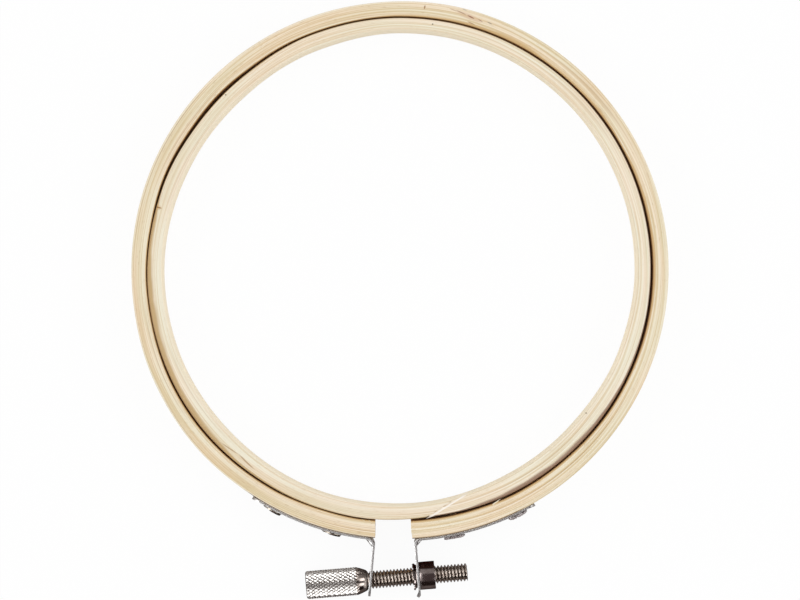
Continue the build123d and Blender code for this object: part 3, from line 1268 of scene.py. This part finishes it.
# %% Rivets
bracket_outside = seat_radius + sheet
flange_radius, flange_height = 2.35 * mm, 0.42 * mm
button_radius, button_height, button_shift = 1.5 * mm, 0.34 * mm, 0.75 * mm
rivet_shank_radius = 1.1 * mm
rivet_tail_radius, tail_inside, tail_outside = 1.8 * mm, 59.15 * mm, 59.55 * mm
rivet_corners = 48
button_taper = 0.94
flange_edge_round, button_edge_round = 0.14 * mm, 0.1 * mm
flare_path = [
    # height above the sheet and radius
    (0, 1.0 * mm),
    (0.45 * mm, 1.15 * mm),
    (0.72 * mm, 1.5 * mm),
    (0.66 * mm, 1.9 * mm),
    (0.3 * mm, 2.35 * mm),
]


def rivet_body(name, top):
    """The shank and tail that all four rivets share, up to a radius from the hoops' axis."""
    return turned(
        name,
        [
            (tail_inside, rivet_tail_radius),
            (tail_outside, rivet_tail_radius),
            (tail_outside, rivet_shank_radius),
            (top, rivet_shank_radius),
        ],
        rivet_corners,
    )


rivets = {}
for name, angle in rivet_angles.items():
    side = -1 if name.startswith("left") else 1
    rivet = rivet_body(name + "_pressed", bracket_outside + flange_height / 2)
    if side < 0:
        flange_path = [(0, flange_radius), (flange_height, flange_radius)]
        flange = turned("flange", flange_path, rivet_corners)
        round_edges(flange, flange_edge_round)
        button_top = (flange_height + button_height, button_radius * button_taper)
        button_path = [(flange_height / 2, button_radius), button_top]
        button = turned("button", button_path, rivet_corners)
        round_edges(button, button_edge_round)
        for part in (flange, button):
            stand(part, Vector((0, 0, bracket_outside + tiny)), Vector((0, 0, 1)))
        for corner in button.data.vertices:
            corner.co.x += button_shift
        join_to(rivet, flange, button)
    else:
        flare = split_flare(
            name + "_flare", flare_path, petals=7, slit_share=0.18, wall=0.32 * mm,
            unevenness=0.22 * mm,
        )
        # Any turn does for a flare, as long as the two rivets differ.
        stand(flare, Vector((0, 0, bracket_outside + tiny)), Vector((0, 0, 1)), turn=angle)
        join_to(rivet, flare)
    outwards = around(angle, 1)
    sideways = Vector((-outwards.y, outwards.x, 0))
    upright = Matrix((sideways, Vector((0, 0, 1)), outwards)).transposed()
    work_on(rivet)
    rivet.matrix_world = upright.to_4x4()
    bpy.ops.object.transform_apply(location=True, rotation=True, scale=True)
    rivets[name] = rivet
    describe(rivet)

# %% [markdown]
# ## Bamboo
#
# Bamboo has no rings like timber: it is a bundle of straight fibres, packed tight and dark
# towards the skin and loose and pale inside. On a planed edge they show as fine streaks that
# run along the strip. Some run most of the way round the hoop and some a centimetre or two,
# all are half a millimetre wide or less, and a few are brown. Noise that is stretched along
# the strip draws them.
# Beside the gap the rounded edges turn from the light, and their shade is painted in, as far as
# was noted with the grain. The two rings share one node group, each with its own colours.

# %% The grain of bamboo, as a node group
# Place is along, across and up the strip. Rim is how far a point lies from the edge at the
# gap, how deep below the top, and how far the painted edge shade reaches there.
bamboo_grain, given, result = new_group(
    "bamboo_grain",
    {
        "Place": "vector", "Rim": "vector", "Pale": "colour", "Straw": "colour",
        "Brown": "colour", "Edge shade": "colour", "Far stain": "colour", "Deep edge shade": "colour",
        "Wall": "colour", "Brown lines": "value",
    },
    {"Colour": "colour", "Relief": "value"},
)
tree = bamboo_grain
drift = stretched_noise(tree, given["Place"], 90 * mm, 20 * mm, detail=1.0)
drift = calculate(tree, "SUBTRACT", drift, 0.5)
drift = add_node(tree, "ShaderNodeCombineXYZ", inputs={"Y": drift, "Z": drift}).outputs[0]
sway = (0, 0.8 * mm, 0.8 * mm)
place = vector_math(tree, "MULTIPLY_ADD", drift, sway, given["Place"])

streak_rows = [
    # length, width, detail and share of each layer
    (300 * mm, 0.34 * mm, 1.0, 0.4),
    (60 * mm, 0.5 * mm, 2.0, 0.35),
    (16 * mm, 0.2 * mm, 1.0, 0.25),
]
streaks = 0.0
for length, width, detail, share in streak_rows:
    layer = stretched_noise(tree, place, length, width, detail, shift=length / mm)
    streaks = calculate(tree, "MULTIPLY_ADD", layer, share, streaks)
colour = mix_colours(tree, ramp(tree, streaks, 0.42, 0.6), given["Pale"], given["Straw"])

line_noise = stretched_noise(tree, place, 160 * mm, 0.3 * mm, detail=0.0, shift=23.9)
line_places = stretched_noise(tree, place, 40 * mm, 3 * mm, detail=0.0, shift=31.3)
lines = product(tree, ramp(tree, line_noise, 0.62, 0.72), ramp(tree, line_places, 0.4, 0.6))
fleck_noise = stretched_noise(tree, place, 1.4 * mm, 0.12 * mm, detail=0.0, shift=57.1)
flecks = product(tree, ramp(tree, fleck_noise, 0.72, 0.82), 0.7)
lines = product(tree, calculate(tree, "MAXIMUM", lines, flecks), given["Brown lines"])
colour = mix_colours(tree, lines, colour, given["Brown"])

patches = stretched_noise(tree, place, 22 * mm, 2.2 * mm, detail=1.0, shift=41.7)
cooler, warmer = (0.965, 0.99, 0.98, 1), (1.0, 0.965, 0.955, 1)
tint = mix_colours(tree, ramp(tree, patches, 0.35, 0.65), cooler, warmer)
colour = mix_colours(tree, 1.0, colour, tint, "MULTIPLY")

# Painted shade: the rounded edges at the gap are darkened, most at the very edge and near the top.
rim = parts_of(tree, given["Rim"])
wobble = stretched_noise(tree, place, 9 * mm, 2 * mm, detail=2.0, shift=71.3)
reach = product(tree, rim["Z"], calculate(tree, "MULTIPLY_ADD", wobble, 0.9, 0.55))
nearness = inverse(tree, calculate(tree, "DIVIDE", rim["X"], reach))
fading = ramp(tree, rim["Y"], 3.0 * mm, 0.6 * mm)
fading = calculate(tree, "MULTIPLY_ADD", fading, 0.75, 0.25)
far = ramp(tree, parts_of(tree, given["Place"])["X"], 90 * mm, 220 * mm)
stain = mix_colours(tree, far, given["Edge shade"], given["Far stain"])
stained = product(tree, ramp(tree, nearness, 0.0, 0.5), fading)
colour = mix_colours(tree, stained, colour, stain)
deep_edge_shading = product(tree, ramp(tree, nearness, 0.78, 1.05), fading)
colour = mix_colours(tree, deep_edge_shading, colour, given["Deep edge shade"])
# The walls that face the gap are warmer: partly the wood of the sides, partly the warm tone of the
# shade between the rings, painted in.
wall = inverse(tree, ramp(tree, rim["X"], 0.02 * mm, 0.16 * mm))
depth = product(tree, ramp(tree, rim["Y"], 0.1 * mm, 1.0 * mm), 0.5)
colour = mix_colours(tree, product(tree, wall, depth), colour, given["Wall"])
tree.links.new(colour, result.inputs["Colour"])
relief = calculate(tree, "SUBTRACT", streaks, product(tree, lines, 0.5))
tree.links.new(relief, result.inputs["Relief"])
print("bamboo grain:", len(tree.nodes), "nodes")

# %% [markdown]
# Small marks make a strip this very strip: pin-pricks, ticks, and the rough swirl where a leaf
# once grew. Each is a soft-edged oval at a place along and across the strip.

# %% Marks on the bamboo
soft_oval, given, result = new_group(
    "soft_oval",
    {"Place": "vector", "Middle": "vector", "Half size": "vector", "Slant": "value"},
    {"Mask": "value"},
)
tree = soft_oval
offset = vector_math(tree, "SUBTRACT", given["Place"], given["Middle"])
parts = parts_of(tree, offset)
leaning = calculate(tree, "MULTIPLY_ADD", parts["X"], given["Slant"], parts["Y"])
flat = add_node(tree, "ShaderNodeCombineXYZ", inputs={"X": parts["X"], "Y": leaning}).outputs[0]
scaled = vector_math(tree, "DIVIDE", flat, given["Half size"])
distance = vector_math(tree, "LENGTH", scaled)
tree.links.new(inverse(tree, ramp(tree, distance, 0.45, 1.0)), result.inputs["Mask"])

# %% Bamboo materials
bump_strength = 0.5


def bumps(tree, relief, distance):
    """The normal of a surface that a relief tilts, by this many metres at most."""
    return add_node(
        tree,
        "ShaderNodeBump",
        inputs={"Height": relief, "Distance": distance, "Strength": bump_strength},
    ).outputs[0]


def bamboo(name, colours, brown_lines, marks, touches):
    """A ring's material, with the marks and the last touches that only this ring has."""
    material, output = new_material(name)
    tree = material.node_tree
    grain = stored_vector(tree, "grain")
    rim = stored_vector(tree, "rim")
    sockets = {label: as_seen(colour) for label, colour in colours.items()}
    surface = use_group(
        tree, bamboo_grain, {"Place": grain, "Rim": rim, "Brown lines": brown_lines, **sockets}
    )
    colour = surface["Colour"]
    for (along, across), (half_length, half_width), slant, mark_colour, strength in marks:
        oval = {
            "Place": grain, "Middle": (along, across, 0), "Half size": (half_length, half_width, 1),
            "Slant": slant,
        }
        mask = product(tree, use_group(tree, soft_oval, oval)["Mask"], strength)
        colour = mix_colours(tree, mask, colour, as_seen(mark_colour))
    for touch in touches:
        colour = touch(tree, colour, grain)
    wood = add_node(
        tree,
        "ShaderNodeBsdfPrincipled",
        inputs={
            "Base Color": colour, "Normal": bumps(tree, surface["Relief"], 0.08 * mm),
            "Roughness": 0.65, "Specular IOR Level": 0.12,
        },
    )
    tree.links.new(wood.outputs[0], output.inputs["Surface"])
    return material


def on_outer(angle, radius_mm):
    """A place on the outer hoop's strip, from its angle and its radius in millimetres."""
    bore, outside = bore_edge(angle, half_height), outer_edge(angle)
    share = (radius_mm * mm - bore) / (outside - bore)
    sweep = (angle - outer_grain_start) % 360
    return radians(sweep) * outer_middle, (share - 0.5) * outer_wall


def on_inner(angle, radius_mm):
    """The same for the inner hoop, whose left half runs on from its right half."""
    window, outside = window_edge(angle), inner_edge(angle)
    share = (radius_mm * mm - window) / (outside - window)
    right = (angle - scarf_outer_angle) % 360 < 90 - scarf_outer_angle
    start = right_grain_start if right else left_grain_start
    sweep = (angle - start) % 360 + (0 if right else 180)
    return radians(sweep) * inner_middle, (share - 0.5) * inner_wall


def painted_light_window_wall(tree, colour, grain):
    """Painted light: the window's wall is made paler than the top, to stay bright in its shade."""
    across = parts_of(tree, grain)["Y"]
    wall = ramp(tree, across, 0.1 * mm - inner_wall / 2, 0.01 * mm - inner_wall / 2)
    return mix_colours(tree, product(tree, wall, 0.6), colour, as_seen((253, 242, 218)))


def painted_seat_shadow(tree, colour, grain):
    """Painted shadow: a dark line on the outer hoop's top edge where the brackets press on it."""
    place = parts_of(tree, grain)
    edge = ramp(tree, place["Y"], outer_wall / 2 - 0.24 * mm, outer_wall / 2 - 0.12 * mm)
    right = ramp(tree, place["X"], 31 * mm, 27 * mm)
    left = ramp(tree, place["X"], tau * outer_middle - 38 * mm, tau * outer_middle - 34 * mm)
    top = ramp(tree, place["Z"], half_height - 0.5 * mm, half_height - 0.3 * mm)
    line = product(tree, edge, calculate(tree, "MAXIMUM", left, right))
    line = product(tree, line, top)
    return mix_colours(tree, product(tree, line, 0.85), colour, as_seen((92, 64, 46)))


def scarf_painted_highlight(tree, colour, grain):
    """A painted highlight: a pale line along the scarf joint, where its edge catches the light."""
    place = object_place(tree)
    offset = vector_math(tree, "SUBTRACT", place, tuple(scarf_outer_end))
    across = vector_math(tree, "DOT_PRODUCT", offset, tuple(scarf_out))
    along = vector_math(tree, "DOT_PRODUCT", offset, tuple(scarf_run))
    width = calculate(tree, "MULTIPLY_ADD", along, -0.006, 0.28 * mm)
    width = calculate(tree, "MAXIMUM", width, 0.09 * mm)
    height = parts_of(tree, place)["Z"]
    upper = ramp(tree, height, half_height - mm, half_height - 0.4 * mm)
    strength = calculate(tree, "MULTIPLY_ADD", upper, 0.65, 0.2)
    share = calculate(tree, "DIVIDE", calculate(tree, "ABSOLUTE", across), width)
    line = inverse(tree, ramp(tree, share, 0.5, 1.0))
    line = product(tree, line, ramp(tree, along, -1.5 * mm, 0.0))
    line = product(tree, line, ramp(tree, along, 15 * mm, 12 * mm))
    return mix_colours(tree, product(tree, line, strength), colour, as_seen((250, 244, 236)))


dark_speck, brown_tick, tan_glow = (96, 92, 70), (150, 108, 62), (205, 170, 120)
# Each mark has its middle, half its length and width, its slant, its colour and its strength.
outer_marks = [
    (on_outer(84.5, 61.2), (0.25 * mm, 0.55 * mm), 0.6, brown_tick, 0.8),
    (on_outer(74.5, 60.9), (4.0 * mm, 0.8 * mm), -0.12, (210, 178, 146), 0.55),
    (on_outer(74.2, 60.95), (1.1 * mm, 0.2 * mm), -0.2, (146, 92, 78), 0.85),
    (on_outer(76.5, 61.4), (1.6 * mm, 0.16 * mm), -0.2, (166, 128, 100), 0.75),
    (on_outer(78.3, 61.6), (1.2 * mm, 0.14 * mm), -0.15, (176, 138, 104), 0.6),
    (on_outer(72.0, 60.8), (0.8 * mm, 0.14 * mm), -0.2, (158, 118, 104), 0.75),
    (on_outer(69.9, 60.95), (0.8 * mm, 0.16 * mm), -0.1, (136, 126, 118), 0.7),
    (on_outer(73.8, 59.6), (1.2 * mm, 0.14 * mm), -0.1, (166, 120, 74), 0.75),
    (on_outer(75.9, 62.2), (0.7 * mm, 0.12 * mm), -0.1, (146, 134, 122), 0.6),
]
inner_marks = [
    (on_inner(165.5, 57.9), (0.8 * mm, 1.0 * mm), 0.0, tan_glow, 0.55),
    (on_inner(165.5, 57.7), (0.2 * mm, 0.95 * mm), 0.2, brown_tick, 0.9),
    (on_inner(322.5, 54.6), (0.28 * mm, 0.28 * mm), 0.0, (140, 125, 105), 0.7),
    (on_inner(134.8, 57.2), (0.25 * mm, 0.25 * mm), 0.0, dark_speck, 0.8),
    (on_inner(82.3, 57.5), (0.22 * mm, 0.26 * mm), 0.0, dark_speck, 0.9),
    (on_inner(231.5, 57.0), (3.2 * mm, 0.2 * mm), -0.1, brown_tick, 0.6),
    (on_inner(226.5, 57.2), (3.0 * mm, 0.16 * mm), 0.14, brown_tick, 0.55),
]
outer_bamboo = bamboo(
    "outer_bamboo_planed",
    {
        "Pale": (240, 228, 205), "Straw": (219, 197, 158), "Brown": (178, 142, 98),
        "Edge shade": (209, 178, 130), "Far stain": (209, 178, 130), "Deep edge shade": (170, 128, 76),
        "Wall": (206, 158, 106),
    },
    0.6, outer_marks, (painted_seat_shadow,),
)
inner_bamboo = bamboo(
    "inner_bamboo_planed",
    {
        "Pale": (242, 233, 214), "Straw": (226, 208, 177), "Brown": (190, 160, 122),
        "Edge shade": (160, 133, 113), "Far stain": (194, 166, 122), "Deep edge shade": (138, 104, 72),
        "Wall": (206, 160, 112),
    },
    0.45, inner_marks, (painted_light_window_wall, scarf_painted_highlight),
)
print("marks", len(outer_marks), "on the outer hoop and", len(inner_marks), "on the inner")

# %% [markdown]
# ## Plated metal
#
# All the metal is steel with a thin plating, but no two kinds of piece look alike: the sheet is
# dull, the right rivets' split ends are brighter than the left ones' heads, and the thread,
# the nut and the knob mirror the room. What they share is a node group: soft smudges, fine
# scratches and tiny pits change the colour and the roughness, because clean metal of one tone
# looks like plastic.

# %% Worn plating, as a node group
worn_plating, given, result = new_group(
    "worn_plating",
    {
        "Bright": "colour", "Dull": "colour", "Smooth": "value", "Rough": "value",
        "Smudge size": "value",
    },
    {"Colour": "colour", "Roughness": "value", "Relief": "value"},
)
tree = worn_plating
place = object_place(tree)
smudge_place = vector_math(tree, "DIVIDE", place, given["Smudge size"])
smudges = add_node(
    tree,
    "ShaderNodeTexNoise",
    inputs={"Vector": smudge_place, "Scale": 1.0, "Detail": 4.0, "Roughness": 0.6},
).outputs["Fac"]
pits = stretched_noise(tree, place, 0.12 * mm, 0.12 * mm, detail=2.0, shift=5.3)
scratches = stretched_noise(tree, place, 2.2 * mm, 0.07 * mm, detail=1.0, shift=9.1)
smudged = ramp(tree, smudges, 0.35, 0.7)
pitted = ramp(tree, pits, 0.5, 0.7)
tone = calculate(tree, "MULTIPLY_ADD", smudged, 0.65, product(tree, pitted, 0.35))
colour = mix_colours(tree, tone, given["Bright"], given["Dull"])
tree.links.new(colour, result.inputs["Colour"])
spread = calculate(tree, "SUBTRACT", given["Rough"], given["Smooth"])
roughness = calculate(tree, "MULTIPLY_ADD", spread, tone, given["Smooth"])
tree.links.new(roughness, result.inputs["Roughness"])
relief = calculate(tree, "ADD", scratches, product(tree, pits, 0.5))
tree.links.new(relief, result.inputs["Relief"])
print("worn plating:", len(tree.nodes), "nodes")

# %% Metal materials


def plated(
    name, bright, dull, smooth, rough, smudge_size, relief, edge_tint, touch=None, metallic=1.0
):
    """A plated finish. Its colours, 0 to 255, are as the eye sees them."""
    material, output = new_material(name)
    tree = material.node_tree
    surface = use_group(
        tree,
        worn_plating,
        {
            "Bright": as_seen(bright), "Dull": as_seen(dull), "Smooth": smooth, "Rough": rough,
            "Smudge size": smudge_size,
        },
    )
    colour, roughness = surface["Colour"], surface["Roughness"]
    if touch:
        colour, roughness = touch(tree, colour, roughness)
    metal = add_node(
        tree,
        "ShaderNodeBsdfPrincipled",
        inputs={
            "Base Color": colour, "Roughness": roughness, "Metallic": metallic,
            "Specular Tint": grey(edge_tint), "Normal": bumps(tree, surface["Relief"], relief),
        },
    )
    tree.links.new(metal.outputs[0], output.inputs["Surface"])
    return material


def from_screw(tree):
    """The place of a point measured from the screw's origin."""
    place = object_place(tree)
    return vector_math(tree, "SUBTRACT", place, tuple(screw_origin))


def off_screw_axis(tree):
    """How far a point lies from the screw's axis."""
    off_axis = vector_math(tree, "CROSS_PRODUCT", from_screw(tree), tuple(screw_axis))
    return vector_math(tree, "LENGTH", off_axis)


def painted_groove_shade(tree, colour, roughness):
    """Painted shade: the thread's grooves are darker than its crests."""
    radius = off_screw_axis(tree)
    crest = ramp(tree, radius, root_radius - 0.1 * mm, root_radius + 0.24 * mm)
    return mix_colours(tree, crest, as_seen((134, 120, 108)), colour), roughness


def painted_shade_towards_hoop(tree, colour, roughness):
    """Painted shade: the nut is darker on the side that mirrors the hoop's shaded wall."""
    towards_hoop = (-screw_axis.y, screw_axis.x, 0)
    back = vector_math(tree, "DOT_PRODUCT", from_screw(tree), towards_hoop)
    painted_shade = ramp(tree, back, 1.7 * mm, 2.1 * mm)
    return mix_colours(tree, painted_shade, colour, as_seen((86, 58, 54))), roughness


def knob_painted_shade(tree, colour, roughness):
    """Painted shade in the grooves; the turned cone is smooth and gets a painted dark reflection."""
    along = vector_math(tree, "DOT_PRODUCT", from_screw(tree), tuple(screw_axis))
    radius = off_screw_axis(tree)
    land = ramp(tree, radius, stock_radius - 0.02 * mm, stock_radius + 0.1 * mm)
    colour = mix_colours(tree, land, as_seen((100, 92, 86)), colour)
    cone_start = nose_place - knob_cone
    nose = ramp(tree, along, cone_start - 0.1 * mm, cone_start + 0.1 * mm)
    colour = mix_colours(tree, nose, colour, as_seen((146, 137, 131)))
    smoother = calculate(tree, "SUBTRACT", 0.15, roughness)
    return colour, calculate(tree, "MULTIPLY_ADD", smoother, nose, roughness)


def dark_button(tree, colour, roughness):
    """The buttons on the left rivets are dark."""
    place = object_place(tree)
    flat = vector_math(tree, "MULTIPLY", place, (1, 1, 0))
    radius = vector_math(tree, "LENGTH", flat)
    start = bracket_outside + flange_height
    button = ramp(tree, radius, start, start + 0.08 * mm)
    return mix_colours(tree, button, colour, as_seen((58, 48, 44))), roughness


# Each finish has its bright and dull colour, its least and greatest roughness, the size of its
# smudges and the height of its relief.
dull_sheet = plated(
    "dull_plated_sheet", (208, 207, 206), (156, 155, 154), 0.34, 0.5, 1.6 * mm, 0.01 * mm,
    edge_tint=0.6, metallic=0.85,
)
flange_plating = plated(
    "rivet_flange_plating", (176, 168, 156), (98, 88, 78), 0.28, 0.46, 0.9 * mm, 0.01 * mm,
    edge_tint=0.6, touch=dark_button,
)
flare_plating = plated(
    "rivet_flare_plating", (238, 230, 230), (150, 138, 138), 0.24, 0.42, 0.8 * mm, 0.01 * mm,
    edge_tint=0.9, metallic=0.6,
)
thread_nickel = plated(
    "thread_nickel", (236, 230, 224), (204, 194, 186), 0.14, 0.28, 1.2 * mm, 0.004 * mm,
    edge_tint=0.4, touch=painted_groove_shade,
)
nut_nickel = plated(
    "nut_nickel", (162, 152, 150), (130, 118, 114), 0.14, 0.28, 1.2 * mm, 0.004 * mm,
    edge_tint=0.3, touch=painted_shade_towards_hoop,
)
knob_nickel = plated(
    "knurled_nickel", (242, 240, 237), (200, 196, 192), 0.28, 0.42, 1.0 * mm, 0.004 * mm,
    edge_tint=0.25, touch=knob_painted_shade,
)
print("materials", len(bpy.data.materials))

# %% Put the metal pieces in the frame
metal_rows = [
    # piece, body, node that it stands for, material, slot, smoothing limit in degrees
    (left_bracket, "left_frame", "left_bracket", dull_sheet, "bracket_steel", 40),
    (right_bracket, "right_clamp", "right_bracket", dull_sheet, "bracket_steel", 40),
    (rivets["left_gap_rivet"], "left_frame", "left_gap_rivet", flange_plating, "rivet_steel", 40),
    (rivets["left_tail_rivet"], "left_frame", "left_tail_rivet", flange_plating, "rivet_steel", 40),
    (rivets["right_gap_rivet"], "right_clamp", "right_gap_rivet", flare_plating, "rivet_steel", 60),
    (rivets["right_tail_rivet"], "right_clamp", "right_tail_rivet", flare_plating, "rivet_steel", 60),
    (rod, "thumbscrew", "threaded_rod", thread_nickel, "screw_nickel", 40),
    (knob, "thumbscrew", "thumb_knob", knob_nickel, "screw_nickel", 25),
    (nut, "right_clamp", "clinch_nut", nut_nickel, "screw_nickel", 40),
]
for piece, body, node, finish, slot, limit in metal_rows:
    piece.data.materials.clear()
    piece.data.materials.append(finish)
    work_on(piece)
    bpy.ops.object.shade_smooth_by_angle(angle=radians(limit))
    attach(piece, body)
    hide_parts(node)
    print(piece.name, "on", body)

# %% Put the hoops in the frame
wood_smoothing = radians(40)

outer_hoop.data.materials.append(outer_bamboo)
inner_hoop.data.materials.append(inner_bamboo)
work_on(outer_hoop)
bpy.ops.object.shade_smooth_by_angle(angle=wood_smoothing)
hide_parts("outer_hoop")
work_on(inner_hoop)
bpy.ops.object.shade_smooth_by_angle(angle=wood_smoothing)
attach(inner_hoop, "inner_ring")
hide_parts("inner_hoop")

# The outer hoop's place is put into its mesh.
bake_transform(outer_hoop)
